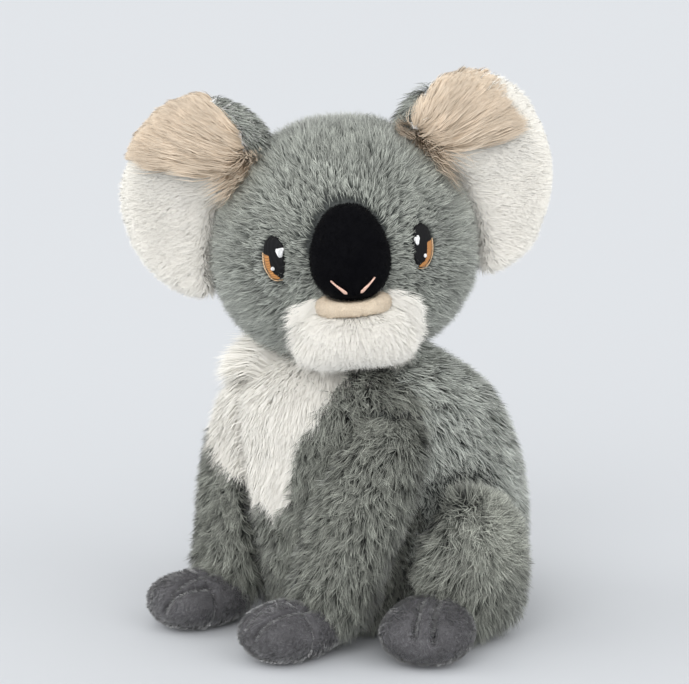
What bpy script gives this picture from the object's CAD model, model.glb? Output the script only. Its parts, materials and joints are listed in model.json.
# Seated plush koala: long pile, velour paws and nose, embroidered eyes.
# The left and right in the names are the koala's own. All sizes are in metres.
import bpy
import bmesh
import json
import math
import numpy as np
from mathutils import Matrix, Vector
from mathutils.bvhtree import BVHTree
from mathutils.kdtree import KDTree

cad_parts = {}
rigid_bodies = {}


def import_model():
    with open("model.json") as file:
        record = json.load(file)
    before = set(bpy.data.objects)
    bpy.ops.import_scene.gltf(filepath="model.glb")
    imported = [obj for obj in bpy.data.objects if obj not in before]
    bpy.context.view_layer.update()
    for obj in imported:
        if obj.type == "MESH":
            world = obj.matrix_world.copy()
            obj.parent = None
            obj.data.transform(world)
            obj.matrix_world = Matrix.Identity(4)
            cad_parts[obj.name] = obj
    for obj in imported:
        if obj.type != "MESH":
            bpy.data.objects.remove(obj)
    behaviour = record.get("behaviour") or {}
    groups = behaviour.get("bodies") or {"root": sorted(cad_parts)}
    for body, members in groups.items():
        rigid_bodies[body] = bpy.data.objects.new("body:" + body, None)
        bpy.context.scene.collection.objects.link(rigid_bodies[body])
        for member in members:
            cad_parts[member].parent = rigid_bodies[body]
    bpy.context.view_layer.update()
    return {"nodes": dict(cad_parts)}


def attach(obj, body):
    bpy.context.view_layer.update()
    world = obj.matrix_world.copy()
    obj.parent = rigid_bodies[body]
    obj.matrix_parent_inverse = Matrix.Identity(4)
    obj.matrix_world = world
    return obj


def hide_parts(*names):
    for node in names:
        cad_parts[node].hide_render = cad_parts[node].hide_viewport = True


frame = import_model()
nodes = frame["nodes"]
scene = bpy.context.scene
sides = (("left", 1), ("right", -1))
mm = 0.001


# The head's own frame: X to the koala's left, the face along -Y
headSpec = {"turn": 53, "roll": -4.5, "centre": (0.00226, 0.00104, 0.16755)}
headMatrix = (
    Matrix.Translation(headSpec["centre"])
    @ Matrix.Rotation(math.radians(headSpec["turn"]), 4, "Z")
    @ Matrix.Rotation(math.radians(headSpec["roll"]), 4, "Y")
)
headFrame = np.array(headMatrix)
headBack = np.array(headMatrix.inverted())


def inHead(points):
    return points @ headBack[:3, :3].T + headBack[:3, 3]


def fromHead(ways):
    return ways @ headFrame[:3, :3].T


# Small helpers for arrays of points
def unit(ways):
    return ways / np.maximum(np.linalg.norm(ways, axis=1, keepdims=True), 1e-9)


def dot(a, b):
    return np.sum(a * b, axis=1, keepdims=True)


def rise(low, high, values):
    # from 0 at low to 1 at high, whichever of them is the larger
    t = np.clip((values - low) / (high - low), 0, 1)
    return t * t * (3 - 2 * t)


def near(points, place, far, close):
    # 1 close to a place and 0 far from it
    return rise(far, close, np.linalg.norm(points - np.array(place), axis=1))


def ripple(points, size, seed):
    # smooth waves that cross each other, about -1 to 1
    rng = np.random.default_rng(seed)
    total = np.zeros(len(points))
    for _ in range(8):
        way = rng.normal(size=3)
        way = way / np.linalg.norm(way) * rng.uniform(0.6, 1.6) * 2 * math.pi / size
        total += np.sin(points @ way + rng.uniform(0, 2 * math.pi))
    return np.clip(total / 3.2, -1, 1)


def swirl(points, size, seed):
    return np.stack([ripple(points, size, seed + k) for k in range(3)], axis=1)


def treeOf(places):
    tree = KDTree(len(places))
    for number, place in enumerate(places):
        tree.insert(place, number)
    tree.balance()
    return tree


# Materials
noiseScales = {"patches": 60, "knit": 900, "velour": 130, "grain": 2600, "floor": 3}


def setInputs(node, values):
    for name, value in values.items():
        node.inputs[name].default_value = value


def newMaterial(name, roughness, sheen=0.0, sheenTint=(1, 1, 1), sheenRoughness=0.4):
    made = bpy.data.materials.new(name)
    made.use_nodes = True
    shader = made.node_tree.nodes["Principled BSDF"]
    setInputs(shader, {
        "Roughness": roughness, "Specular IOR Level": 0.3, "Sheen Weight": sheen,
        "Sheen Roughness": sheenRoughness, "Sheen Tint": (*sheenTint, 1),
    })
    return made, made.node_tree, shader


def paint(tree, shader, colour):
    tree.links.new(colour, shader.inputs["Base Color"])


def ramp(tree, source, stops):
    # the source's value as a colour; a stop's bare number is a grey
    node = tree.nodes.new("ShaderNodeValToRGB")
    bar = node.color_ramp
    while len(bar.elements) < len(stops):
        bar.elements.new(0.5)
    for element, (place, colour) in zip(bar.elements, stops):
        element.position = place
        element.color = (*(colour if isinstance(colour, tuple) else (colour,) * 3), 1)
    tree.links.new(source, node.inputs["Fac"])
    return node.outputs["Color"]


def mixColours(tree, kind, factor, first, second):
    node = tree.nodes.new("ShaderNodeMix")
    node.data_type = "RGBA"
    node.blend_type = kind
    # 6 and 7 are the sockets of the two colours
    for number, value in ((0, factor), (6, first), (7, second)):
        socket = node.inputs[number]
        if isinstance(value, bpy.types.NodeSocket):
            tree.links.new(value, socket)
        else:
            socket.default_value = (*value, 1) if isinstance(value, tuple) else value
    return node.outputs[2]


def attribute(tree, name):
    node = tree.nodes.new("ShaderNodeAttribute")
    node.attribute_name = name
    return node.outputs["Fac"]


def objectNoise(tree, scale, detail=2.0):
    place = tree.nodes.new("ShaderNodeTexCoord")
    noise = tree.nodes.new("ShaderNodeTexNoise")
    setInputs(noise, {"Scale": scale, "Detail": detail, "Roughness": 0.5})
    tree.links.new(place.outputs["Object"], noise.inputs["Vector"])
    return noise.outputs["Fac"]


def addBump(tree, shader, height, strength, distance):
    bump = tree.nodes.new("ShaderNodeBump")
    setInputs(bump, {"Strength": strength, "Distance": distance})
    tree.links.new(height, bump.inputs["Height"])
    tree.links.new(bump.outputs["Normal"], shader.inputs["Normal"])


def pileMaterial(name, roots, middles, tips, tones, sheen=0.25, patchy=(0.86, 1.08)):
    # the colour runs from root to tip, and each strand has its own shade
    made, tree, shader = newMaterial(name, 0.75, sheen)
    length = ramp(tree, attribute(tree, "along"), ((0.0, roots), (0.45, middles), (1.0, tips)))
    stops = [(k / (len(tones) - 1), tone) for k, tone in enumerate(tones)]
    toned = mixColours(tree, "MULTIPLY", 1.0, length, ramp(tree, attribute(tree, "shade"), stops))
    noise = objectNoise(tree, noiseScales["patches"])
    patches = ramp(tree, noise, ((0.3, patchy[0]), (0.7, patchy[1])))
    paint(tree, shader, mixColours(tree, "MULTIPLY", 1.0, toned, patches))
    return made


def backingMaterial(name, dark, light, pale=None):
    # the knitted backing that the pile stands on, seen only between strands
    made, tree, shader = newMaterial(name, 0.95)
    noise = objectNoise(tree, noiseScales["knit"], 3)
    colour = ramp(tree, noise, ((0.3, dark), (0.7, light)))
    if pale:
        # the cover's own "pale" values say where the white cloth is
        colour = mixColours(tree, "MIX", attribute(tree, "pale"), colour, pale)
    paint(tree, shader, colour)
    addBump(tree, shader, noise, 0.5, 0.4 * mm)
    return made


def velourMaterial(name, dark, light, sheenTint, sheen):
    made, tree, shader = newMaterial(name, 0.8, sheen, sheenTint, 0.35)
    broad = ramp(tree, objectNoise(tree, noiseScales["velour"], 3), ((0.32, dark), (0.7, light)))
    grain = objectNoise(tree, noiseScales["grain"])
    shades = ramp(tree, grain, ((0.3, 0.8), (0.7, 1.15)))
    paint(tree, shader, mixColours(tree, "MULTIPLY", 1.0, broad, shades))
    addBump(tree, shader, grain, 0.6, 0.3 * mm)
    return made


def threadMaterial(name, colour, turn, shine=0.45):
    # satin stitches: fine parallel ridges across the piece
    made, tree, shader = newMaterial(name, shine, 0.1)
    setInputs(shader, {"Specular IOR Level": 0.5})
    place = tree.nodes.new("ShaderNodeTexCoord")
    turned = tree.nodes.new("ShaderNodeMapping")
    setInputs(turned, {"Rotation": (0, math.radians(turn), math.radians(headSpec["turn"]))})
    wave = tree.nodes.new("ShaderNodeTexWave")
    setInputs(wave, {"Scale": 620, "Distortion": 1.5, "Detail": 2})
    tree.links.new(place.outputs["Object"], turned.inputs["Vector"])
    tree.links.new(turned.outputs["Vector"], wave.inputs["Vector"])
    light = tuple(min(1.0, c * 1.25) for c in colour)
    dark = tuple(c * 0.7 for c in colour)
    paint(tree, shader, ramp(tree, wave.outputs["Fac"], ((0.1, dark), (0.8, light))))
    addBump(tree, shader, wave.outputs["Fac"], 0.7, 0.15 * mm)
    return made


pile = {
    "limbGrey": pileMaterial(
        "limbGreyPile", (0.019, 0.0205, 0.018), (0.091, 0.097, 0.0845), (0.515, 0.532, 0.465),
        (0.45, 0.6, 0.85, 1.2, 1.9),
    ),
    "backGrey": pileMaterial(
        "backGreyPile", (0.058, 0.064, 0.0585), (0.27, 0.291, 0.263), (0.88, 0.915, 0.84),
        (0.55, 0.75, 0.95, 1.2, 1.6),
    ),
    "headGrey": pileMaterial(
        "headGreyPile", (0.063, 0.069, 0.061), (0.208, 0.224, 0.2), (0.645, 0.672, 0.605),
        (0.52, 0.72, 0.95, 1.2, 1.65),
    ),
    "white": pileMaterial(
        "whitePile", (0.92, 0.89, 0.82), (0.96, 0.935, 0.87), (0.975, 0.95, 0.89),
        (0.97, 1.0, 1.02), 0.1, (0.97, 1.02),
    ),
    "beige": pileMaterial(
        "beigePile", (0.68, 0.555, 0.415), (0.745, 0.61, 0.465), (0.82, 0.7, 0.56),
        (0.82, 0.93, 1.0, 1.07, 1.16),
    ),
    "velour": pileMaterial(
        "greyVelourNap", (0.06, 0.059, 0.063), (0.13, 0.128, 0.134), (0.27, 0.265, 0.275),
        (0.6, 0.82, 1.0, 1.18, 1.4), 0.9, (0.7, 1.25),
    ),
    "nose": pileMaterial(
        "blackVelourNap", (0.001, 0.001, 0.0015), (0.002, 0.002, 0.003), (0.004, 0.004, 0.006),
        (0.7, 1.0, 1.3), 0.0,
    ),
    "lip": pileMaterial(
        "beigeVelourNap", (0.68, 0.575, 0.445), (0.74, 0.63, 0.49), (0.78, 0.68, 0.55),
        (0.97, 1.0, 1.02),
    ),
}
backing = {
    "grey": backingMaterial(
        "greyBacking", (0.03, 0.033, 0.032), (0.08, 0.087, 0.084), (0.84, 0.83, 0.81)
    ),
    "white": backingMaterial("whiteBacking", (0.78, 0.77, 0.75), (0.88, 0.87, 0.85)),
    "ear": backingMaterial("earBacking", (0.84, 0.83, 0.81), (0.93, 0.92, 0.9)),
    "velour": velourMaterial(
        "greyVelour", (0.085, 0.083, 0.088), (0.125, 0.122, 0.129), (0.7, 0.68, 0.75), 0.3
    ),
    "nose": velourMaterial(
        "blackVelour", (0.001, 0.001, 0.002), (0.003, 0.003, 0.004), (0.35, 0.36, 0.42), 0.0
    ),
    "lip": velourMaterial(
        "beigeVelour", (0.66, 0.55, 0.42), (0.74, 0.63, 0.49), (1, 0.93, 0.82), 0.2
    ),
}
thread = {
    "black": threadMaterial("blackThread", (0.005, 0.005, 0.006), 20, 0.5),
    "amber": threadMaterial("amberThread", (0.4, 0.17, 0.04), 70),
    "cream": threadMaterial("creamThread", (0.62, 0.42, 0.24), 70),
    "white": threadMaterial("whiteThread", (0.82, 0.82, 0.82), 10, 0.5),
    "peach": threadMaterial("peachThread", (0.78, 0.5, 0.4), 45, 0.5),
    "grey": threadMaterial("seamThread", (0.04, 0.038, 0.045), 30, 0.6),
}
for dark, gloss in ((pile["nose"], 0.06), (backing["nose"], 0.06), (thread["black"], 0.14)):
    shader = dark.node_tree.nodes["Principled BSDF"]
    setInputs(shader, {"Specular IOR Level": gloss, "Sheen Weight": 0.0})
print("materials made")


# Stuffed shapes, each made round the solids that it stands for
coverFloor = 0.3 * mm
coverSpec = {
    "voxel": 0.004, "pressure": 4.0, "cap": 0.0012, "sink": 0.0045, "fill": 0.8, "levels": 0
}


def linked(name, made):
    # a new object of a mesh, or of a bmesh, which it frees
    mesh = made
    if isinstance(made, bmesh.types.BMesh):
        mesh = bpy.data.meshes.new(name)
        made.to_mesh(mesh)
        made.free()
    piece = bpy.data.objects.new(name, mesh)
    scene.collection.objects.link(piece)
    return piece


def dressed(piece, finish):
    piece.data.materials.clear()
    piece.data.materials.append(finish)
    piece.data.shade_smooth()


def settle(piece):
    # live modifiers become plain geometry
    bpy.context.view_layer.update()
    made = bpy.data.meshes.new_from_object(
        piece.evaluated_get(bpy.context.evaluated_depsgraph_get())
    )
    piece.modifiers.clear()
    old = piece.data
    piece.data = made
    bpy.data.meshes.remove(old)


def coordinates(mesh):
    flat = np.empty(len(mesh.vertices) * 3)
    mesh.vertices.foreach_get("co", flat)
    return flat.reshape(-1, 3)


def moveTo(mesh, places):
    mesh.vertices.foreach_set("co", places.ravel())
    mesh.update()


def vertexNormals(mesh):
    return np.array([tuple(n.vector) for n in mesh.vertex_normals]).reshape(-1, 3)


def surfaceTree(piece):
    return BVHTree.FromObject(piece, bpy.context.evaluated_depsgraph_get())


def joined(name, members):
    made = bmesh.new()
    for member in members:
        made.from_mesh(nodes[member].data)
    bmesh.ops.remove_doubles(made, verts=made.verts, dist=0.01 * mm)
    return linked(name, made)


def remeshed(piece, voxel):
    remesh = piece.modifiers.new("voxels", "REMESH")
    remesh.mode = "VOXEL"
    remesh.voxel_size = voxel
    remesh.use_smooth_shade = True
    smooth = piece.modifiers.new("smooth", "SMOOTH")
    smooth.factor = 0.5
    smooth.iterations = 6
    settle(piece)


def puffUp(piece, pressure, cap, frames=20):
    # cloth under pressure, moved no further than the cap
    before = coordinates(piece.data)
    cloth = piece.modifiers.new("puff", "CLOTH")
    cloth.settings.quality = 5
    cloth.settings.mass = 0.2
    cloth.settings.use_pressure = True
    cloth.settings.uniform_pressure_force = pressure
    cloth.settings.effector_weights.gravity = 0
    cloth.collision_settings.use_collision = False
    cloth.point_cache.frame_start = 1
    cloth.point_cache.frame_end = frames
    for number in range(1, frames + 1):
        scene.frame_set(number)
    shaped = piece.evaluated_get(bpy.context.evaluated_depsgraph_get())
    moved = coordinates(shaped.data) - before
    reach = np.linalg.norm(moved, axis=1, keepdims=True)
    moved *= np.minimum(1, cap / np.maximum(reach, 1e-9))
    piece.modifiers.clear()
    scene.frame_set(1)
    after = before + moved
    after[:, 2] = np.maximum(after[:, 2], coverFloor)
    moveTo(piece.data, after)


def subdivided(piece, levels):
    rounding = piece.modifiers.new("rounding", "SUBSURF")
    rounding.levels = levels
    rounding.render_levels = levels
    settle(piece)


def sink(piece, depth):
    # draws the surface in along its normals; depth is a number or one for each vertex
    mesh = piece.data
    moved = coordinates(mesh) - vertexNormals(mesh) * np.reshape(depth, (-1, 1))
    moved[:, 2] = np.maximum(moved[:, 2], coverFloor)
    moveTo(mesh, moved)


def squarer(piece, spec):
    # makes a rounded piece of the face squarer, by its centre and half sizes there
    local = inHead(coordinates(piece.data))
    x = (local[:, 0] - spec["centre"][0]) / spec["half"][0]
    z = (local[:, 2] - spec["centre"][1]) / spec["half"][1]
    if "cap" in spec:
        # a band's round ends become square ones with round corners
        end = np.clip((np.abs(x) - spec["cap"]) / (1 - spec["cap"]), 0, 0.96)
        z = z * (1 - end ** 4) ** 0.25 / np.sqrt(1 - end ** 2)
    else:
        corner = (2 * np.abs(x * z) / np.maximum(x * x + z * z, 1e-9)) ** 1.5
        share = 1 + spec["corner"] * corner * rise(0.3, 0.9, np.hypot(x, z))
        x, z = x * share, z * share
    local[:, 0] = spec["centre"][0] + x * spec["half"][0]
    local[:, 2] = spec["centre"][1] + z * spec["half"][1]
    moveTo(piece.data, fromHead(local) + headFrame[:3, 3])


def stuffed(name, members, body, spec, finish):
    piece = joined(name, members)
    remeshed(piece, spec["voxel"])
    if "squarer" in spec:
        squarer(piece, spec["squarer"])
    if "pressure" in spec:
        puffUp(piece, spec["pressure"], spec["cap"])
    subdivided(piece, spec.get("levels", 1))
    if spec["sink"]:
        sink(piece, spec["sink"])
    dressed(piece, finish)
    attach(piece, body)
    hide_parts(*members)
    return piece


def markPale(piece, share):
    layer = piece.data.attributes.new("pale", "FLOAT", "POINT")
    layer.data.foreach_set("value", share(coordinates(piece.data)).astype(np.float32))


# Pile: tapered strands that lean, bend and gather into tufts
strandFloor = 0.35 * mm
mostTriangles = 196000
strandSpec = {
    # what holds where a pile's own settings say nothing else; angles are in degrees
    "steps": 2, "rootDepth": 0.6 * mm, "droop": 0.0, "curl": 0, "uneven": 0.22, "lean": 9,
    "stray": 0.22, "tuftStray": 0.35, "tuftLean": 7, "tuftShade": 0.25, "facing": (0, 0, 0),
    "stretch": (0.72, 1.08), "tuftStretch": (0.85, 1.15), "twist": 58,
}


def scatter(mesh, count, weight, rng):
    mesh.calc_loop_triangles()
    places = coordinates(mesh)
    normals = vertexNormals(mesh)
    corners = np.empty(len(mesh.loop_triangles) * 3, np.int32)
    mesh.loop_triangles.foreach_get("vertices", corners)
    corners = corners.reshape(-1, 3)
    a, b, c = (places[corners[:, k]] for k in range(3))
    area = np.linalg.norm(np.cross(b - a, c - a), axis=1) / 2
    middle = (a + b + c) / 3
    facing = unit(normals[corners].sum(axis=1))
    share = area * np.clip(weight(middle, facing), 0, 4)
    chosen = rng.choice(len(share), size=count, p=share / share.sum())
    u, v = rng.random(count), rng.random(count)
    over = u + v > 1
    u[over], v[over] = 1 - u[over], 1 - v[over]
    parts = np.stack((1 - u - v, u, v), axis=1)[:, :, None]
    points = (places[corners[chosen]] * parts).sum(axis=1)
    ways = unit((normals[corners[chosen]] * parts).sum(axis=1))
    kept = weight(points, ways) > rng.random(count) * 0.35
    return points[kept], ways[kept]


def strandPaths(points, normals, combed, spec, lengths, lean, curl):
    # one point after another along each strand
    steps = spec["steps"]
    flat = unit(combed - normals * dot(combed, normals))
    beside = np.cross(normals, flat)
    path = [points - normals * spec["rootDepth"]]
    for number, bend in enumerate(np.linspace(spec["leanRoot"], spec["leanTip"], steps)):
        angle = np.radians(bend + lean)[:, None]
        turn = (curl * number / max(1, steps - 1))[:, None]
        sideways = flat * np.cos(turn) + beside * np.sin(turn)
        way = normals * np.cos(angle) + sideways * np.sin(angle)
        way = way + np.array((0, 0, -spec["droop"]))
        path.append(path[-1] + unit(way) * lengths[:, None] / steps)
    return path


def even(points, normals):
    return np.ones(len(points))


def growPile(
    name, cover, body, spec, kind, comb, weight=even, lengthShare=even, raised=None,
    shadeShare=None, clear=None,
):
    spec = {**strandSpec, **spec}
    rng = np.random.default_rng(spec["seed"])
    steps = spec["steps"]

    def varied(points, normals, stretch, leans, curl, curls, stray):
        size = len(points)
        lengths = spec["length"] * lengthShare(points, normals) * rng.uniform(*stretch, size)
        lean = rng.normal(scale=leans, size=size)
        curl = curl + np.radians(rng.normal(scale=curls, size=size))
        if raised:
            lean = lean - raised(points)
        ways = unit(unit(comb(points, normals)) + rng.normal(scale=stray, size=points.shape))
        return strandPaths(points, normals, ways, spec, lengths, lean, curl), curl

    points, normals = scatter(cover.data, spec["count"], weight, rng)
    tufts, tuftNormals = scatter(cover.data, spec["tufts"], weight, rng)
    tuftPath, tuftCurl = varied(
        tufts, tuftNormals, spec["tuftStretch"], spec["tuftLean"], 0, spec["curl"],
        spec["tuftStray"],
    )
    tuftShade = rng.random(len(tufts))
    tree = treeOf(tufts)
    nearest = np.array([tree.find(point)[1] for point in points])
    path, _ = varied(
        points, normals, spec["stretch"], spec["lean"], tuftCurl[nearest], spec["curl"] / 2,
        spec["stray"],
    )
    gather = spec["gather"] * rng.uniform(0.4, 1.0, len(points))
    for number in range(1, steps + 1):
        pull = (gather * (number / steps) ** 1.4)[:, None]
        path[number] = path[number] + (tuftPath[number][nearest] - path[number]) * pull
    for places in path:
        places[:, 2] = np.maximum(places[:, 2], strandFloor)
    if clear:
        # strands that would run too near another piece are left out
        kept = np.all([clear(places) for places in path[1:]], axis=0)
        points, normals, nearest = points[kept], normals[kept], nearest[kept]
        path = [places[kept] for places in path]

    # flat tapered strands, their broad side mostly outwards
    count = len(points)
    twist = np.radians(rng.uniform(-spec["twist"], spec["twist"], count))[:, None]
    width = spec["width"] * rng.uniform(0.75, 1.25, count)[:, None]
    taper = np.interp(np.linspace(0, 1, steps + 1), (0, 0.35, 0.75, 1), (0.9, 1.0, 0.72, 0))
    uneven = rng.normal(scale=spec["uneven"], size=(count, 3))
    looks = normals + 0.3 * unit(path[steps] - path[0]) + uneven
    looks = unit(looks + np.array(spec["facing"]))
    rows = 2 * steps + 1
    made = np.empty((count, rows, 3))
    for number in range(steps):
        tangent = unit(path[number + 1] - path[number])
        across = unit(np.cross(tangent, normals))
        across = across * np.cos(twist) + np.cross(tangent, across) * np.sin(twist)
        # each strand's faces look the same way as the normals that it is given
        across = across * np.where(dot(np.cross(across, tangent), looks) < 0, -1, 1)
        made[:, number * 2] = path[number] - across * width * taper[number] / 2
        made[:, number * 2 + 1] = path[number] + across * width * taper[number] / 2
    made[:, rows - 1] = path[steps]
    along = np.repeat(np.arange(steps + 1) / steps, 2)[:rows]
    share = spec["tuftShade"]
    shade = share * tuftShade[nearest] + (1 - share) * rng.random(count) ** 1.3
    if shadeShare:
        shade = shade * shadeShare(points)

    parts = max(1, math.ceil(count * (2 * steps - 1) / mostTriangles))
    for part in range(parts):
        some = slice(part * count // parts, (part + 1) * count // parts)
        partName = name if parts == 1 else "%s_%d" % (name, part + 1)
        piece = strandPiece(partName, made[some], looks[some], along, shade[some], pile[kind])
        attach(piece, body)
    print("pile", name, count, "strands")


def strandPiece(name, places, looks, along, shade, finish):
    count, rows = places.shape[:2]
    steps = rows // 2
    mesh = bpy.data.meshes.new(name)
    mesh.vertices.add(count * rows)
    mesh.vertices.foreach_set("co", places.astype(np.float32).ravel())
    quads = [(2 * k, 2 * k + 1, 2 * k + 3, 2 * k + 2) for k in range(steps - 1)]
    pattern = [corner for quad in quads for corner in quad] + [rows - 3, rows - 2, rows - 1]
    strand = np.arange(count, dtype=np.int32)[:, None]
    corners = np.array(pattern, np.int32) + strand * rows
    firsts = 4 * np.arange(steps, dtype=np.int32) + strand * len(pattern)
    mesh.loops.add(corners.size)
    mesh.loops.foreach_set("vertex_index", corners.ravel())
    mesh.polygons.add(firsts.size)
    mesh.polygons.foreach_set("loop_start", firsts.ravel())
    mesh.update(calc_edges=True)
    for label, values in (("along", np.tile(along, count)), ("shade", np.repeat(shade, rows))):
        layer = mesh.attributes.new(label, "FLOAT", "POINT")
        layer.data.foreach_set("value", values.astype(np.float32))
    mesh.shade_smooth()
    mesh.normals_split_custom_set_from_vertices(np.repeat(looks, rows, axis=0).astype(np.float32))
    mesh.materials.append(finish)
    return linked(name, mesh)


# The white pile covers the front of the chest and spills over the top of the right arm
bibSpec = {
    # its lower edge, across the chest, and its left edge, up the chest
    "lowAcross": (-0.06, -0.044, -0.026, -0.019, 0.006),
    "lowHeights": (0.085, 0.075, 0.063, 0.058, 0.055),
    "leftHeights": (0.05, 0.0615, 0.0753, 0.0931, 0.1054, 0.13),
    "leftAcross": (-0.002, 0.008, 0.0118, 0.0175, 0.0235, 0.03),
    "ragged": 0.003, "edge": 0.001, "front": (0.012, 0.002),
}


def bibShare(points):
    low = np.interp(points[:, 0], bibSpec["lowAcross"], bibSpec["lowHeights"])
    left = np.interp(points[:, 2], bibSpec["leftHeights"], bibSpec["leftAcross"])
    ragged = ripple(points, 0.014, 5) * bibSpec["ragged"]
    edge = bibSpec["edge"]
    front = rise(*bibSpec["front"], points[:, 1] + ragged)
    inside = rise(-edge, edge, left + ragged - points[:, 0])
    return inside * rise(-edge, edge, points[:, 2] + ragged - low) * front


# Body
torsoSpec = dict(coverSpec, cap=0.0015, fill=0.85)
torsoPileSpec = {
    "seed": 11, "count": 51000, "tufts": 4600, "length": 0.0103, "width": 0.00038,
    "leanRoot": 20, "leanTip": 55, "gather": 0.45, "droop": 0.1, "curl": 25, "tuftShade": 0.35,
    "tuftStray": 0.42,
}
flankPileSpec = dict(
    torsoPileSpec, seed=13, count=33000, tufts=2500, gather=0.48, length=0.0114,
    curl=32, tuftLean=12, tuftStray=0.46,
)
shoulderPileSpec = {
    "seed": 14, "count": 17000, "tufts": 300, "length": 0.0205, "width": 0.00032,
    "leanRoot": 18, "leanTip": 64, "gather": 0.12, "stray": 0.16, "tuftStray": 0.2,
    "tuftLean": 4, "droop": 0.1, "uneven": 0.03, "facing": (1.2, -1.2, 0.6),
}
ruffPileSpec = dict(
    shoulderPileSpec, seed=15, count=13000, tufts=200, length=0.029, leanRoot=28, leanTip=76
)
neckSpec = {"voxel": 0.003, "sink": 0.0008, "fill": 0.9}
neckPileSpec = {
    "seed": 16, "count": 8000, "tufts": 500, "length": 0.017, "width": 0.0004,
    "leanRoot": 8, "leanTip": 30, "gather": 0.4, "tuftLean": 14, "tuftStray": 0.5, "droop": 0.05,
}
bibPileSpec = {
    "seed": 12, "count": 46000, "tufts": 1500, "length": 0.0115, "width": 0.00032,
    "leanRoot": 36, "leanTip": 70, "gather": 0.12, "droop": 0.15, "uneven": 0.03, "curl": 8,
    "stray": 0.15, "tuftStray": 0.2, "tuftLean": 4, "facing": (1.0, -1.0, 0.5),
}
torsoShape = {
    "swirl": 0.05, "top": (0.1, 0.125), "topCentre": (0, 0.02, 0.11),
    "back": (-0.004, 0.006), "backRagged": (0.02, 0.006),
    "seat": (0.002, 0.006), "neckFrom": 0.118, "neckBack": 0.008, "neckHole": (0.018, 0.026),
    "raise": 20, "raised": (0.036, -0.012, 0.112), "raiseReach": (0.028, 0.01),
    "longer": 0.8, "longest": (0.04, -0.008, 0.112), "longReach": (0.03, 0.012),
    "shoulderWay": (-0.8, -0.5, -0.6), "ruffWay": (-0.9, -0.42, 0.06),
}


def torsoComb(points, normals):
    # down and a little outwards, with slow swirls
    ways = np.zeros_like(points)
    ways[:, 2] = -1
    ways[:, 0] = ripple(points, torsoShape["swirl"], 21) * 0.35
    ways[:, 1] = ripple(points, torsoShape["swirl"], 22) * 0.35
    top = rise(*torsoShape["top"], points[:, 2])[:, None]
    return ways + unit(points - np.array(torsoShape["topCentre"])) * top * 0.8


def backShare(points):
    # the short light pile of the back begins behind the arms
    size, amount = torsoShape["backRagged"]
    return rise(*torsoShape["back"], points[:, 1] + ripple(points, size, 23) * amount)


def oneWay(way):
    return lambda points, normals: np.zeros_like(points) + way


def besideShoulder(points, place, reach):
    # 1 at a place on either shoulder, 0 beyond its reach
    away = np.abs(points) - np.array((place[0], 0, place[2]))
    away[:, 1] = points[:, 1] - place[1]
    return rise(*reach, np.linalg.norm(away, axis=1))


def shoulderRaise(points):
    # the pile above an arm stands up to lie over the arm's top
    return torsoShape["raise"] * besideShoulder(
        points, torsoShape["raised"], torsoShape["raiseReach"]
    )


def torsoCovered(points, normals):
    # nothing grows under the seat or on top, where the head sits
    seat = rise(*torsoShape["seat"], points[:, 2])
    under = rise(-0.75, -0.4, normals[:, 2])
    away = np.hypot(points[:, 0], points[:, 1] - torsoShape["neckBack"])
    neck = rise(*torsoShape["neckHole"], away)
    return seat * under * np.where(points[:, 2] > torsoShape["neckFrom"], neck, 1.0)


def besides(names):
    # shortens the pile near these pieces, so that the crease between them stays open
    tree = treeOf(np.concatenate([coordinates(nodes[name].data) for name in names]))

    def share(points):
        gap = np.array([tree.find(point)[2] for point in points])
        return 0.45 + 0.55 * rise(0.005, 0.016, gap)
    return share


nearLegs = besides(["leg_skin_left", "leg_skin_right"])
nearTorso = besides(["torso_skin", "arm_skin_left", "arm_skin_right"])


def creaseShade(shortness):
    # the pile is darker deep in a crease
    return lambda points: 0.25 + 0.75 * rise(0.45, 0.72, shortness(points))


inLegCrease = creaseShade(nearLegs)
inTorsoCrease = creaseShade(nearTorso)


def overShoulders(points, normals):
    # longer where the pile has to lie over the top of an arm
    close = besideShoulder(points, torsoShape["longest"], torsoShape["longReach"])
    return (1 + torsoShape["longer"] * close) * nearLegs(points)


def makeBody():
    cover = stuffed(
        "torsoCover",
        ["torso_skin", "chest_bib", "base_panel", "torso_stuffing", "pellet_bag"],
        "torso", torsoSpec, backing["grey"],
    )
    markPale(cover, bibShare)
    growPile(
        "torsoPile", cover, "torso", torsoPileSpec, "backGrey", torsoComb,
        lambda p, n: torsoCovered(p, n) * (1 - bibShare(p)) * backShare(p), overShoulders,
        shoulderRaise, inLegCrease,
    )
    growPile(
        "flankPile", cover, "torso", flankPileSpec, "limbGrey", torsoComb,
        lambda p, n: torsoCovered(p, n) * (1 - bibShare(p)) * (1 - backShare(p)), overShoulders,
        shoulderRaise, inLegCrease,
    )
    growPile(
        "shoulderPile", cover, "torso", shoulderPileSpec, "white",
        oneWay(torsoShape["shoulderWay"]),
        lambda p, n: torsoCovered(p, n) * bibShare(p) * rise(0.06, 0.07, p[:, 2])
        * rise(-0.018, -0.026, p[:, 0]),
    )
    growPile(
        "ruffPile", cover, "torso", ruffPileSpec, "white", oneWay(torsoShape["ruffWay"]),
        lambda p, n: torsoCovered(p, n) * bibShare(p) * rise(0.106, 0.11, p[:, 2])
        * rise(-0.004, -0.012, p[:, 0]),
    )
    growPile(
        "bibPile", cover, "torso", bibPileSpec, "white", torsoComb,
        lambda p, n: torsoCovered(p, n) * bibShare(p),
    )
    neck = stuffed(
        "neckFilling", ["neck_stuffing"], "neck", neckSpec, backing["grey"]
    )

    def around(points, normals):
        # outwards round the neck
        ways = points - points.mean(axis=0)
        ways[:, 2] = 0
        return unit(ways) + np.array((0, 0, -0.3))

    growPile(
        "neckPile", neck, "neck", neckPileSpec, "backGrey", around,
        lambda p, n: rise(0.85, 0.5, np.abs(n[:, 2])) + 0.02,
    )


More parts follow.
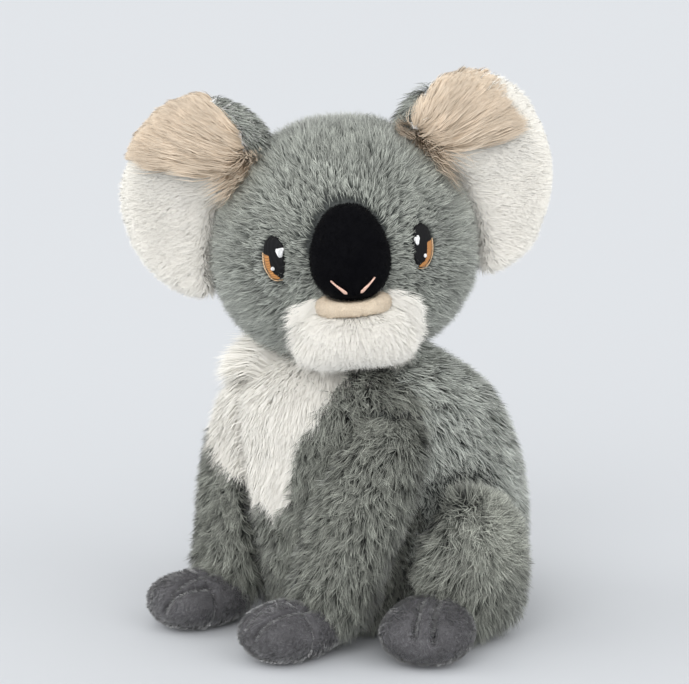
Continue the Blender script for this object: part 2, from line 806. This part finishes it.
# Arms
armPileSpec = {
    "seed": 31, "count": 28000, "tufts": 1900, "length": 0.011, "width": 0.00037,
    "leanRoot": 16, "leanTip": 53, "gather": 0.5, "droop": 0.08,
    "curl": 32, "tuftLean": 12, "tuftStray": 0.46, "tuftShade": 0.35,
}
armWhiteSpec = dict(
    armPileSpec, seed=36, count=19000, tufts=700, length=0.0115, gather=0.12, uneven=0.03,
    width=0.00032, leanRoot=34, leanTip=68, curl=8, tuftLean=4, tuftStray=0.2, stray=0.15,
    facing=(1.2, -1.1, 0.5),
)
armShape = {
    "root": (0.041, -0.008, 0.09), "tip": (0.03, -0.034, 0.012), "swirl": 0.04,
    "topSink": 0.0022, "top": (0.086, 0.1), "full": (0.088, 0.1), "low": (0.012, 0.02),
    "overHand": (0.04, 0.022),
}
handSpec = {"voxel": 0.0022, "sink": -0.0006, "fill": 0.75}
napSpec = {
    "seed": 41, "count": 15500, "tufts": 900, "length": 0.0028, "width": 0.00018,
    "leanRoot": 42, "leanTip": 66, "gather": 0.35, "rootDepth": 0.0002,
    "stray": 0.2, "tuftStray": 0.5, "curl": 34, "tuftLean": 14, "uneven": 0.12, "tuftShade": 0.4,
}
pawSpec = {
    "hand": {
        "splay": 4, "reach": 0.016, "length": 0.05, "width": 0.036, "height": 0.025,
        "wrist": (0.03, -0.034), "parent": "arm",
    },
    "foot": {
        "splay": 42, "reach": 0.0, "length": 0.047, "width": 0.041, "height": 0.026,
        "wrist": (0.069, -0.009), "parent": "leg",
    },
    # each fold runs from one place across the paw and angle over its front to another
    "folds": {
        ("hand", 1): ((-0.02, 2, -0.24, 84, 0.0046), (0.17, 20, 0.06, 84, 0.0042)),
        ("hand", -1): (
            (-0.13, -12, -0.33, 66, 0.0046), (-0.18, 30, -0.15, 84, 0.0042),
            (0.2, 0, 0.2, 84, 0.004),
        ),
        ("foot", 1): ((-0.115, 2, -0.1, 84, 0.005), (0.09, 12, 0.07, 84, 0.005)),
        ("foot", -1): ((-0.12, 8, -0.11, 84, 0.005), (0.11, 2, 0.09, 84, 0.005)),
    },
    "foldWidth": 0.0012, "foldStart": 8, "foldEnd": (25, 5),
    "wristPlace": 0.07, "wristDepth": 0.0012, "rightTuck": (0.006, 0.012),
}
seamSpec = {"stitches": 9, "radius": 0.0002, "lift": -0.0001, "lowest": 4}


def pawFrame(kind, side):
    spec = pawSpec[kind]
    splay = math.radians(spec["splay"])
    heading = Vector((math.sin(splay) * side, -math.cos(splay), 0))
    centre = Vector((spec["wrist"][0] * side, spec["wrist"][1], spec["height"] / 2 - 0.0005))
    centre = centre + heading * spec["reach"]
    if kind == "foot" and side < 0:
        centre = centre + Vector((*pawSpec["rightTuck"], 0))
    return centre, heading, heading.cross(Vector((0, 0, 1)))


def carveToes(piece, kind, side):
    # the pulled stitch lines part the toes
    centre, heading, sideways = pawFrame(kind, side)
    spec = pawSpec[kind]
    places = coordinates(piece.data)
    away = places - np.array(centre)
    across = away @ np.array(sideways)
    angle = np.arctan2(away[:, 2] / spec["height"], away @ np.array(heading) / spec["length"])
    angle = np.degrees(angle)
    depth = np.zeros(len(places))
    if kind == "hand":
        forward = away @ np.array(heading) / spec["length"] - pawSpec["wristPlace"]
        wrist = np.exp(-(forward * spec["length"] / pawSpec["foldWidth"]) ** 2)
        depth = wrist * pawSpec["wristDepth"]
    start, (end, full) = pawSpec["foldStart"], pawSpec["foldEnd"]
    for place, low, otherPlace, high, deep in pawSpec["folds"][(kind, side)]:
        share = np.interp(angle, (low, high), (place, otherPlace))
        along = rise(low - start, low + start, angle) * rise(high + end, high + full, angle)
        inFold = np.exp(-((across - spec["width"] * share) / pawSpec["foldWidth"]) ** 2)
        depth = np.maximum(depth, inFold * along * deep)
    moveTo(piece.data, places - vertexNormals(piece.data) * depth[:, None])


def makePaw(kind, word, side):
    parent = "%s_%s" % (pawSpec[kind]["parent"], word)
    members = ["%s_skin_%s" % (kind, word), "%s_stuffing_%s" % (kind, word)]
    piece = stuffed(
        "%sCover_%s" % (kind, word), members, parent, handSpec, backing["velour"]
    )
    subdivided(piece, 1)
    carveToes(piece, kind, side)
    piece.data.shade_smooth()
    forward = np.array(pawFrame(kind, side)[1])
    growPile(
        "%sNap_%s" % (kind, word), piece, parent, napSpec, "velour",
        lambda p, n: forward + np.array((0, 0, -0.35)) + n * 0.1,
        lambda p, n: rise(0.0008, 0.003, p[:, 2]),
    )
    makeSeams(kind, word, side, piece, parent)


def makeSeams(kind, word, side, cover, parent):
    # a row of short stitches at the bottom of each fold
    centre, heading, sideways = pawFrame(kind, side)
    spec = pawSpec[kind]
    ground = surfaceTree(cover)
    steps = seamSpec["stitches"] * 2
    for number, fold in enumerate(pawSpec["folds"][(kind, side)][:2]):
        made = bmesh.new()
        previous = None
        for step in range(steps + 1):
            share = step / steps
            low = max(seamSpec["lowest"], fold[1])
            angle = math.radians(low * (1 - share) + fold[3] * share)
            across = np.interp(math.degrees(angle), (fold[1], fold[3]), (fold[0], fold[2]))
            start = centre + sideways * (spec["width"] * float(across))
            out = heading * (math.cos(angle) * spec["length"])
            out = out + Vector((0, 0, math.sin(angle) * spec["height"]))
            hit = ground.ray_cast(start + out, -out.normalized())[0]
            if hit is None:
                continue
            here = hit + out.normalized() * seamSpec["lift"]
            if previous is not None and step % 2:
                addStitch(made, previous, here, seamSpec["radius"])
            previous = here
        piece = linked("%sSeam_%s_%d" % (kind, word, number + 1), made)
        dressed(piece, thread["grey"])
        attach(piece, parent)
        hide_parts("%s_seam_%s_%d" % (kind, word, number + 1))


def addStitch(made, start, end, radius):
    middle = (start + end) / 2
    along = end - start
    turn = along.to_track_quat("Z", "Y").to_matrix().to_4x4()
    size = Matrix.Diagonal((radius, radius, along.length * 0.62, 1))
    bmesh.ops.create_icosphere(
        made, subdivisions=2, radius=1, matrix=Matrix.Translation(middle) @ turn @ size
    )


def makeArms():
    shape = armShape
    for word, side in sides:
        body = "arm_" + word
        cover = stuffed(
            "armCover_" + word, ["arm_skin_" + word, "arm_stuffing_" + word], body, coverSpec,
            backing["grey"],
        )
        sink(cover, shape["topSink"] * rise(*shape["top"], coordinates(cover.data)[:, 2]))
        cover.data.shade_smooth()
        if side < 0:
            markPale(cover, bibShare)
        root, tip = (np.array((x * side, y, z)) for x, y, z in (shape["root"], shape["tip"]))

        def comb(points, normals, down=unit((tip - root)[None, :])):
            return down + swirl(points, shape["swirl"], 51) * 0.3

        def covered(points, normals):
            low = 0.25 + 0.75 * rise(*shape["low"], points[:, 2])
            return low + 1.4 * rise(*shape["full"], points[:, 2])

        def overHand(points, normals):
            # longer where it hangs over the hand
            return (1 + 0.35 * rise(*shape["overHand"], points[:, 2])) * nearLegs(points)

        growPile(
            "armPile_" + word, cover, body, dict(armPileSpec, seed=31 + side), "limbGrey", comb,
            lambda p, n: covered(p, n) * (1 - bibShare(p) * (side < 0)), overHand,
            shadeShare=inLegCrease,
        )
        if side < 0:
            growPile(
                "armWhitePile_" + word, cover, body, armWhiteSpec, "white", comb,
                lambda p, n: covered(p, n) * bibShare(p),
            )
        makePaw("hand", word, side)


# Legs
legPileSpec = {
    "seed": 61, "count": 24000, "tufts": 1700, "length": 0.0112, "width": 0.00038,
    "leanRoot": 18, "leanTip": 54, "gather": 0.42, "droop": 0.05,
    "curl": 24, "tuftLean": 9, "tuftStray": 0.34, "tuftShade": 0.35,
}
legShape = {
    # the pile fans out from a crown, where it is thicker and lighter
    "crown": (0.075, 0.03, 0.05), "fan": 0.03, "reach": (0.024, 0.01),
    "lightReach": (0.022, 0.008), "swirl": 0.04, "crossing": 0.003,
    "floor": (0.001, 0.004), "overFoot": (0.036, 0.024),
}


def makeLegs():
    shape = legShape
    for word, side in sides:
        body = "leg_" + word
        cover = stuffed(
            "legCover_" + word, ["leg_skin_" + word, "leg_stuffing_" + word], body, coverSpec,
            backing["grey"],
        )
        x, y, z = shape["crown"]
        crown = np.array((x * side, y, z))

        def comb(points, normals, crown=crown):
            # fanning out on the way down and back; in the crown the strands cross each other
            close = near(points, crown, *shape["reach"])[:, None]
            ways = (points - crown) / shape["fan"] * 0.45
            ways = ways + np.array((0, 0.25, -0.9)) * (1 - 0.6 * close)
            ways = ways + swirl(points, shape["swirl"], 71) * 0.3
            return ways + swirl(points, shape["crossing"], 74) * close

        def full(points, normals, crown=crown):
            close = near(points, crown, *shape["reach"])
            return rise(*shape["floor"], points[:, 2]) * (1 + 2 * close)

        def lighterCrown(points, crown=crown):
            close = near(points, crown, *shape["lightReach"])
            return inTorsoCrease(points) * (1 + 0.6 * close)

        def overFoot(points, normals, side=side):
            # longer where it hangs over the foot
            centre = np.array(pawFrame("foot", side)[0])
            away = np.linalg.norm((points - centre)[:, :2], axis=1)
            return (1 + 0.45 * rise(*shape["overFoot"], away)) * nearTorso(points)

        growPile(
            "legPile_" + word, cover, body, dict(legPileSpec, seed=61 + side), "limbGrey", comb,
            full, overFoot, shadeShare=lighterCrown,
        )
        makePaw("foot", word, side)


# Head
faceSpec = {
    "noseRise": 0.0024, "noseHalf": (0.0181, 0.0225),
    "eyeOut": 0.0294, "eyeRise": 0.0, "eyeHalf": (0.0047, 0.0088),
    "muzzle": (0.0014, -0.031), "muzzleHalf": (0.0234, 0.0145),
    # the neck's hole in the head, in the row's frame
    "socket": (0, 0.008, 0.081), "socketRadius": 0.0512,
}
headCoverSpec = dict(coverSpec, sink=None, fill=0.9)
headPileSpec = {
    "seed": 81, "count": 76000, "tufts": 6000, "length": 0.0105, "width": 0.00034,
    "leanRoot": 30, "leanTip": 60, "gather": 0.42, "curl": 14, "tuftShade": 0.3,
}
cheekPileSpec = {
    "seed": 83, "count": 11500, "tufts": 260, "length": 0.0095, "width": 0.00026,
    "leanRoot": 24, "leanTip": 62, "gather": 0.14, "uneven": 0.03, "facing": (0.8, -0.6, 0.5),
}


def eyeReach(local):
    # for each eye: 1 on its edge and less inside; fur covers the edge on the nose's side
    reaches = []
    for side in (1, -1):
        x = (local[:, 0] * side - faceSpec["eyeOut"]) / faceSpec["eyeHalf"][0]
        x = np.where(x < 0, x * 1.6, x)
        z = (local[:, 2] - faceSpec["eyeRise"]) / faceSpec["eyeHalf"][1]
        reaches.append(np.where(local[:, 1] < 0, np.hypot(x, z), 9.0))
    return reaches


def noseReach(local):
    x = local[:, 0] / faceSpec["noseHalf"][0]
    z = (local[:, 2] - faceSpec["noseRise"]) / faceSpec["noseHalf"][1]
    return np.where(local[:, 1] < -0.02, np.hypot(x, z), 9.0)


def muzzleShare(points):
    # the white patch reaches past the muzzle, up beside the lip
    local = inHead(points)
    x = (local[:, 0] - faceSpec["muzzle"][0]) / faceSpec["muzzleHalf"][0]
    z = (local[:, 2] - faceSpec["muzzle"][1]) / faceSpec["muzzleHalf"][1]
    edge = (x ** 4 + z ** 4) ** 0.25 + 0.05 * ripple(local, 0.006, 41)
    return rise(1.1, 0.93, edge) * (local[:, 1] < -0.012)


def headComb(points, normals):
    # outwards from the nose over the face, then down the back
    local = inHead(points)
    away = local - np.array((0, -0.05, -0.004))
    away[:, 1] *= 0.4
    down = np.zeros_like(local)
    down[:, 2] = -1
    back = rise(-0.01, 0.035, local[:, 1])[:, None]
    low = rise(0.0, -0.04, local[:, 2])
    ways = unit(away) * (1 - back) + down * back * 0.8
    ways[:, 0] += np.sign(local[:, 0]) * low * 0.5
    return fromHead(ways) + swirl(points, 0.03, 91) * 0.22


def headCovered(points, normals):
    local = inHead(points)
    clear = np.ones(len(points))
    for reach in eyeReach(local):
        clear *= rise(0.92, 1.12, reach)
    clear *= rise(0.78, 0.95, noseReach(local))
    fromSocket = np.linalg.norm(points - np.array(faceSpec["socket"]), axis=1)
    return clear * ~(fromSocket < faceSpec["socketRadius"])


def headLength(points, normals):
    # short round the nose and the eyes
    local = inHead(points)
    share = 0.42 + 0.6 * near(local, (0, -0.05, 0), 0.02, 0.06)
    return share * (0.55 + 0.45 * rise(1.1, 2.6, np.minimum(*eyeReach(local))))


def makeHead():
    cover = stuffed(
        "headCover", ["head_skin", "head_stuffing"], "head", headCoverSpec, backing["grey"],
    )
    places = coordinates(cover.data)
    local = inHead(places)
    eyes = 0.25 + 0.75 * rise(1.0, 2.2, np.minimum(*eyeReach(local)))
    nose = 0.3 + 0.7 * rise(1.0, 1.8, noseReach(local))
    sink(cover, 0.004 * np.minimum(eyes, nose) * (1 - 0.8 * muzzleShare(places)))
    cover.data.shade_smooth()
    markPale(cover, muzzleShare)
    growPile(
        "headPile", cover, "head", headPileSpec, "headGrey", headComb,
        lambda p, n: headCovered(p, n) * (1 - muzzleShare(p)), headLength,
    )
    growPile(
        "cheekPile", cover, "head", cheekPileSpec, "white", headComb,
        lambda p, n: headCovered(p, n) * muzzleShare(p),
    )
    return cover


# Muzzle, lip and nose
muzzleSpec = {
    "voxel": 0.0025, "sink": 0.0022, "fill": 0.8,
    "squarer": {"centre": (0, -0.0325), "half": (0.0255, 0.0135), "corner": 0.2},
}
muzzlePileSpec = {
    "seed": 101, "count": 36000, "tufts": 900, "length": 0.0085, "width": 0.00022,
    "leanRoot": 42, "leanTip": 74, "gather": 0.12, "droop": 0.08, "uneven": 0.02,
    "facing": (0.5, -0.4, 0.3),
}
lipSpec = {
    "voxel": 0.0012, "sink": 0.0001, "fill": 0.7,
    "squarer": {"centre": (0, -0.0212), "half": (0.0174, 0.0046), "cap": 0.72},
}
lipNapSpec = {
    "seed": 103, "count": 6500, "tufts": 500, "length": 0.001, "width": 0.00014,
    "leanRoot": 30, "leanTip": 60, "gather": 0.2, "rootDepth": 0.0002,
}
noseSpec = {"voxel": 0.0022, "pressure": 4.0, "cap": 0.0006, "sink": 0.0004, "fill": 0.9}
noseNapSpec = {
    "seed": 105, "count": 6500, "tufts": 900, "length": 0.0013, "width": 0.00018,
    "leanRoot": 25, "leanTip": 55, "gather": 0.2, "rootDepth": 0.0002,
}


def makeMuzzle():
    cover = stuffed(
        "muzzleCover", ["muzzle_skin", "muzzle_stuffing"], "head", muzzleSpec,
        backing["white"],
    )

    def comb(points, normals):
        # outwards from a place behind the lip
        local = inHead(points) - np.array((0, -0.045, -0.024))
        local[:, 2] -= 0.006
        return fromHead(unit(local))

    growPile(
        "muzzlePile", cover, "head", muzzlePileSpec, "white", comb,
        lengthShare=lambda p, n: 0.72 + 0.28 * rise(-0.022, -0.032, inHead(p)[:, 2]),
    )
    lip = stuffed("lip", ["mouth_band"], "head", lipSpec, backing["lip"])
    growPile("lipNap", lip, "head", lipNapSpec, "lip", comb)


def makeNose():
    piece = stuffed(
        "nose", ["nose_cover", "nose_stuffing"], "head", noseSpec, backing["nose"],
    )
    subdivided(piece, 1)
    piece.data.shade_smooth()
    growPile(
        "noseNap", piece, "head", noseNapSpec, "nose",
        lambda p, n: fromHead(unit(inHead(p) - np.array((0, -0.06, 0.02)))),
    )
    for word, side in sides:
        makeNostril(piece, word, side)


# Embroidery
nostrilSpec = {
    "length": 0.0084, "width": 0.0016, "spacing": 0.0113, "drop": 0.012, "slant": 44,
    "lift": 0.0009, "crown": 0.0004,
}
eyeSpec = {
    "width": 0.0098, "height": 0.018, "lift": 0.0008, "crown": 0.0008, "layer": 0.0003,
    "rimWidth": 0.0006, "rimInset": -0.0002, "irisWidth": 0.0023, "from": -108, "to": 13,
    "highlight": (-0.0019, 0.0025, 0.0028, 0.0042), "glint": (0.001, -0.0041, 0.0013, 0.0016),
}
patchThickness = 0.0007


def onFace(tree, x, z, lift):
    # the point of the face seen at x, z from straight ahead
    start = headMatrix @ Vector((x, -0.12, z))
    ahead = (headMatrix.to_3x3() @ Vector((0, 1, 0))).normalized()
    place, normal = tree.ray_cast(start, ahead)[:2]
    return place + normal * lift


def embroidered(name, tree, shape, grid, lift, crown, colour, replaced):
    # a padded patch of stitches: a grid laid on the face, thickened and rounded at its edge
    made = bmesh.new()
    bmesh.ops.create_grid(made, x_segments=grid[0], y_segments=grid[1], size=1)
    for vert in made.verts:
        u, v = vert.co.x, vert.co.y
        x, z = shape(u, v)
        dome = crown * max(0.0, (1 - u ** 4) * (1 - v ** 4)) ** 0.5
        vert.co = onFace(tree, x, z, lift + dome)
    bmesh.ops.recalc_face_normals(made, faces=made.faces)
    middle = sum((f.normal for f in made.faces), Vector())
    if middle.dot(headMatrix.to_3x3() @ Vector((0, -1, 0))) < 0:
        bmesh.ops.reverse_faces(made, faces=made.faces)
    piece = linked(name, made)
    thick = piece.modifiers.new("thickness", "SOLIDIFY")
    thick.thickness = patchThickness
    thick.offset = -1
    settle(piece)
    dressed(piece, thread[colour])
    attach(piece, "head")
    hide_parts(replaced)


def makeNostril(nose, word, side):
    spec = nostrilSpec
    slant = math.radians(spec["slant"])

    def shape(u, v):
        along = u * spec["length"] / 2
        across = v * spec["width"] / 2 * (0.62 + 0.38 * u)
        across = across * math.sqrt(max(0.02, 1 - max(0, u) ** 8))
        x = -along * math.cos(slant) + across * math.sin(slant)
        z = -along * math.sin(slant) - across * math.cos(slant)
        return side * spec["spacing"] / 2 + x * side, faceSpec["noseRise"] - spec["drop"] + z

    embroidered(
        "nostril_" + word, surfaceTree(nose), shape, (14, 4), spec["lift"], spec["crown"],
        "peach", "nostril_stitch_" + word,
    )


def ovalShape(x0, z0, width, height, inner=0):
    # inner is -1 or 1 where the face's fur covers that side of the oval
    def shape(u, v):
        x = u * math.sqrt(1 - v * v / 2) * width / 2
        if x * inner > 0:
            x *= 0.72
        z = v * math.sqrt(1 - u * u / 2) * height / 2
        return x0 + x, z0 + z
    return shape


def sparkleShape(x0, z0, width, height):
    # a highlight with three round lobes
    def shape(u, v):
        x, z = u * math.sqrt(1 - v * v / 2), v * math.sqrt(1 - u * u / 2)
        lobes = 0.85 + 0.15 * math.cos(3 * math.atan2(z, x) - 1.9)
        return x0 + x * lobes * width / 2, z0 + z * lobes * height / 2
    return shape


def crescentShape(x0, z0, side, inset, thickness):
    # along the outer and lower edge of the eye, thinning out towards its ends
    spec = eyeSpec

    def shape(u, v):
        angle = math.radians(spec["from"] + (spec["to"] - spec["from"]) * (u + 1) / 2)
        full = 0.25 + 0.75 * (u + 1) / 0.4
        if u > -0.6:
            full = min(1.0, 1.15 * math.cos((u * 0.35 - 0.5) * math.pi / 2) ** 0.5)
        depth = inset + thickness * full * (1 - v) / 2
        x = (spec["width"] / 2 - depth) * math.cos(angle) * side
        z = (spec["height"] / 2 - depth) * math.sin(angle)
        return x0 + x, z0 + z
    return shape


def makeEyes(head):
    tree = surfaceTree(head)
    spec = eyeSpec
    top = spec["lift"] + spec["layer"]
    for word, side in sides:
        x0, z0 = faceSpec["eyeOut"] * side, faceSpec["eyeRise"]
        black = ovalShape(x0, z0, spec["width"], spec["height"], -side)
        rim = crescentShape(x0, z0, side, spec["rimInset"], spec["rimWidth"])
        iris = crescentShape(x0, z0, side, spec["rimWidth"], spec["irisWidth"])
        x, z, width, height = spec["highlight"]
        highlight = sparkleShape(x0 + side * x, z0 + z, width, height)
        x, z, width, height = spec["glint"]
        glint = ovalShape(x0 + side * x, z0 + z, width, height)
        for kind, shape, grid, lift, crown, colour in (
            ("Black", black, (16, 20), spec["lift"], spec["crown"], "black"),
            ("Rim", rim, (24, 2), top, 0.0003, "cream"),
            ("Iris", iris, (24, 4), top + 0.0002, 0.0006, "amber"),
            ("Highlight", highlight, (14, 14), top + 0.0008, 0.0005, "white"),
            ("Glint", glint, (6, 6), top + 0.0008, 0.0004, "white"),
        ):
            replaced = "eye_%s_%s" % (kind.lower(), word)
            embroidered("eye%s_%s" % (kind, word), tree, shape, grid, lift, crown, colour, replaced)


# Ears
earSpec = {"voxel": 0.003, "pressure": 3.0, "cap": 0.001, "sink": 0.0012, "fill": 0.5}
earShape = {
    "out": 0.0555, "rise": 0.0225, "back": 0.006, "halfWidth": 0.034, "halfHeight": 0.042,
    # how far from the head a strand's root stays, and all of a tuft's strand
    "rootGap": 0.5 * mm, "tuftGap": 5 * mm,
}
earBackSpec = {
    "seed": 121, "count": 9500, "tufts": 520, "length": 0.0095, "width": 0.00036,
    "leanRoot": 30, "leanTip": 66, "gather": 0.5,
}
earLiningSpec = {
    "seed": 131, "count": 19000, "tufts": 900, "length": 0.0062, "width": 0.00032,
    "leanRoot": 40, "leanTip": 68, "gather": 0.14, "uneven": 0.03, "facing": (1.2, -0.9, 0.4),
}
earTuftSpec = {
    "seed": 141, "count": 12000, "tufts": 170, "length": 0.029, "width": 0.00034, "steps": 3,
    "leanRoot": 44, "leanTip": 82, "gather": 0.62, "stray": 0.06, "tuftStray": 0.1,
    "uneven": 0.05, "tuftShade": 0.5, "facing": (0.5, -0.4, 0.3),
}


def outside(piece, gap):
    # says which places lie further than a gap outside a piece
    mesh = piece.data
    faces = [tuple(face.vertices) for face in mesh.polygons]
    tree = BVHTree.FromPolygons([tuple(place) for place in coordinates(mesh)], faces)

    def share(points):
        kept = np.empty(len(points))
        for number, point in enumerate(points):
            place, normal, _, _ = tree.find_nearest(point)
            kept[number] = (Vector(point) - place).dot(normal) > gap
        return kept > 0
    return share


def makeEars(head):
    spec = earShape
    free = outside(head, spec["rootGap"])
    wellFree = outside(head, spec["tuftGap"])
    wayOut = fromHead(np.array([[0.0, -1.0, 0.0]]))[0]
    for word, side in sides:
        body = "ear_" + word
        cover = stuffed(
            "earCover_" + word, ["ear_back_" + word, "ear_lining_" + word, "ear_tuft_" + word],
            body, earSpec, backing["ear"],
        )
        middle = np.array((spec["out"] * side, spec["back"], spec["rise"]))

        def earPlace(points):
            # across and up the ear in shares of its half size, with the outside positive
            local = inHead(points) - middle
            return local[:, 0] * side / spec["halfWidth"], local[:, 2] / spec["halfHeight"]

        def earWay(across, up):
            # a way in the ear's plane, outwards and up
            return fromHead(unit(np.stack((across * side, np.zeros(len(up)), up), axis=1)))

        def front(normals):
            # the white goes round the rim
            return rise(-0.5, -0.3, normals @ wayOut)

        def tuftShare(points):
            # a fan from the head side, above a line that climbs outwards; the left ear keeps
            # a white rim outside it
            x, z = earPlace(points)
            ragged = ripple(points, 0.012, 15) * 0.05
            fan = rise(0.26, 0.34, z - 0.2 * x + ragged)
            if side < 0:
                return fan
            rim = np.interp(x, (0.0, 0.4), (1.14, 0.94))
            return fan * rise(0, -0.08, np.hypot(x, z) - rim) * rise(0.45, 0.3, x)

        def greyRim(points):
            # the head's grey pile climbs over the rim beside the head
            x, z = earPlace(points)
            start = 1.12 + 0.11 * side
            rim = rise(start, start + 0.14, z - 1.087 * x + ripple(points, 0.012, 16) * 0.06)
            return np.maximum(rim, rise(-0.72, -0.84, x) * rise(0.0, 0.2, z))

        def liningWays(points, normals):
            x, z = earPlace(points)
            return earWay(x + 1.3, z * 1.1 - 0.15) + swirl(points, 0.03, 151) * 0.2

        def backWays(points, normals):
            x, z = earPlace(points)
            return earWay(np.full(len(x), -0.8), -0.5 * z - 0.2) + swirl(points, 0.03, 161) * 0.3

        def fanWays(points, normals):
            x, z = earPlace(points)
            return earWay(x + 0.9, z)

        def rimLength(points, normals):
            # the fringe is short above the right ear and outside the left one
            x, z = earPlace(points)
            short = rise(0.1, 0.5, z)
            if side > 0:
                short = rise(0.3, 0.7, x) * rise(0.8, 0.5, np.abs(z))
            return 1.1 - (0.1 + 0.5 * short) * rise(0.75, 1.0, np.hypot(x, z))

        def backLength(points, normals):
            # the grey behind the white rim stays hidden from the front
            nearRim = rise(0.7, 0.95, np.hypot(*earPlace(points))) * (1 - greyRim(points))
            return rimLength(points, normals) * (1 - 0.6 * nearRim)

        def tuftLength(points, normals):
            # the tips end at the ear's rim
            x, z = earPlace(points)
            rim = np.interp(x, (-0.2, 0.4), (1.1, 1.06 if side < 0 else 0.92))
            return np.clip((rim - np.hypot(x, z)) / 0.66, 0.22, 1)

        growPile(
            "earBackPile_" + word, cover, body, dict(earBackSpec, seed=121 + side), "headGrey",
            backWays, lambda p, n: free(p) * np.maximum(1 - front(n), greyRim(p)), backLength,
        )
        growPile(
            "earLiningPile_" + word, cover, body, dict(earLiningSpec, seed=131 + side), "white",
            liningWays,
            lambda p, n: free(p) * front(n) * (1 - 0.85 * tuftShare(p)) * (1 - greyRim(p)),
            rimLength,
        )
        growPile(
            "earTuftPile_" + word, cover, body, dict(earTuftSpec, seed=141 + side), "beige",
            fanWays, lambda p, n: wellFree(p) * front(n) * tuftShare(p) * (1 - greyRim(p)),
            tuftLength, clear=wellFree,
        )


makeBody()
makeArms()
makeLegs()
headCover = makeHead()
makeMuzzle()
makeNose()
makeEyes(headCover)
makeEars(headCover)
print("koala made")


# Floor, light and camera
stageSpec = {
    "floor": (0.638, 0.655, 0.68), "floorSize": 12, "sky": (0.985, 0.995, 1.0), "ambient": 0.84,
    # each lamp's azimuth, elevation, strength and spread
    "key": (35, 27, 1.3, 50), "fill": (100, 22, 0.8, 60), "rim": (-30, 22, 0.7, 60),
    "azimuth": 50, "elevation": 12, "distance": 1.3, "target": (0, 0, 0.11),
    "lens": 159.4, "shift": (0.00943, 0.0406),
}


def aimed(name, data, azimuth, elevation):
    # an object that looks back from this way; also gives the way
    a, e = math.radians(azimuth), math.radians(elevation)
    back = Vector((math.sin(a) * math.cos(e), -math.cos(a) * math.cos(e), math.sin(e)))
    holder = bpy.data.objects.new(name, data)
    scene.collection.objects.link(holder)
    holder.rotation_mode = "QUATERNION"
    holder.rotation_quaternion = (-back).to_track_quat("-Z", "Y")
    return holder, back


def makeStage():
    made = bmesh.new()
    bmesh.ops.create_grid(made, x_segments=8, y_segments=8, size=stageSpec["floorSize"])
    floor = linked("floor", made)
    material, tree, shader = newMaterial("floorPaint", 0.9)
    setInputs(shader, {"Specular IOR Level": 0.0})
    colour = stageSpec["floor"]
    stops = ((0.0, tuple(c * 0.995 for c in colour)), (1.0, colour))
    paint(tree, shader, ramp(tree, objectNoise(tree, noiseScales["floor"]), stops))
    floor.data.materials.append(material)

    world = bpy.data.worlds.new("studio")
    world.use_nodes = True
    sky = world.node_tree.nodes["Background"]
    setInputs(sky, {"Color": (*stageSpec["sky"], 1), "Strength": stageSpec["ambient"]})
    scene.world = world

    for name in ("key", "fill", "rim"):
        azimuth, elevation, strength, spread = stageSpec[name]
        lamp = bpy.data.lights.new(name, "SUN")
        lamp.energy = strength
        lamp.angle = math.radians(spread)
        aimed(name, lamp, azimuth, elevation)


def makeCamera():
    spec = stageSpec
    lens = bpy.data.cameras.new("camera")
    lens.lens = spec["lens"]
    lens.sensor_width = 36
    lens.shift_x, lens.shift_y = spec["shift"]
    lens.clip_start, lens.clip_end = 0.01, 100
    camera, back = aimed("camera", lens, spec["azimuth"], spec["elevation"])
    camera.location = Vector(spec["target"]) + back * spec["distance"]
    scene.camera = camera


makeStage()
makeCamera()
scene.view_settings.view_transform = "Standard"
print("stage made")
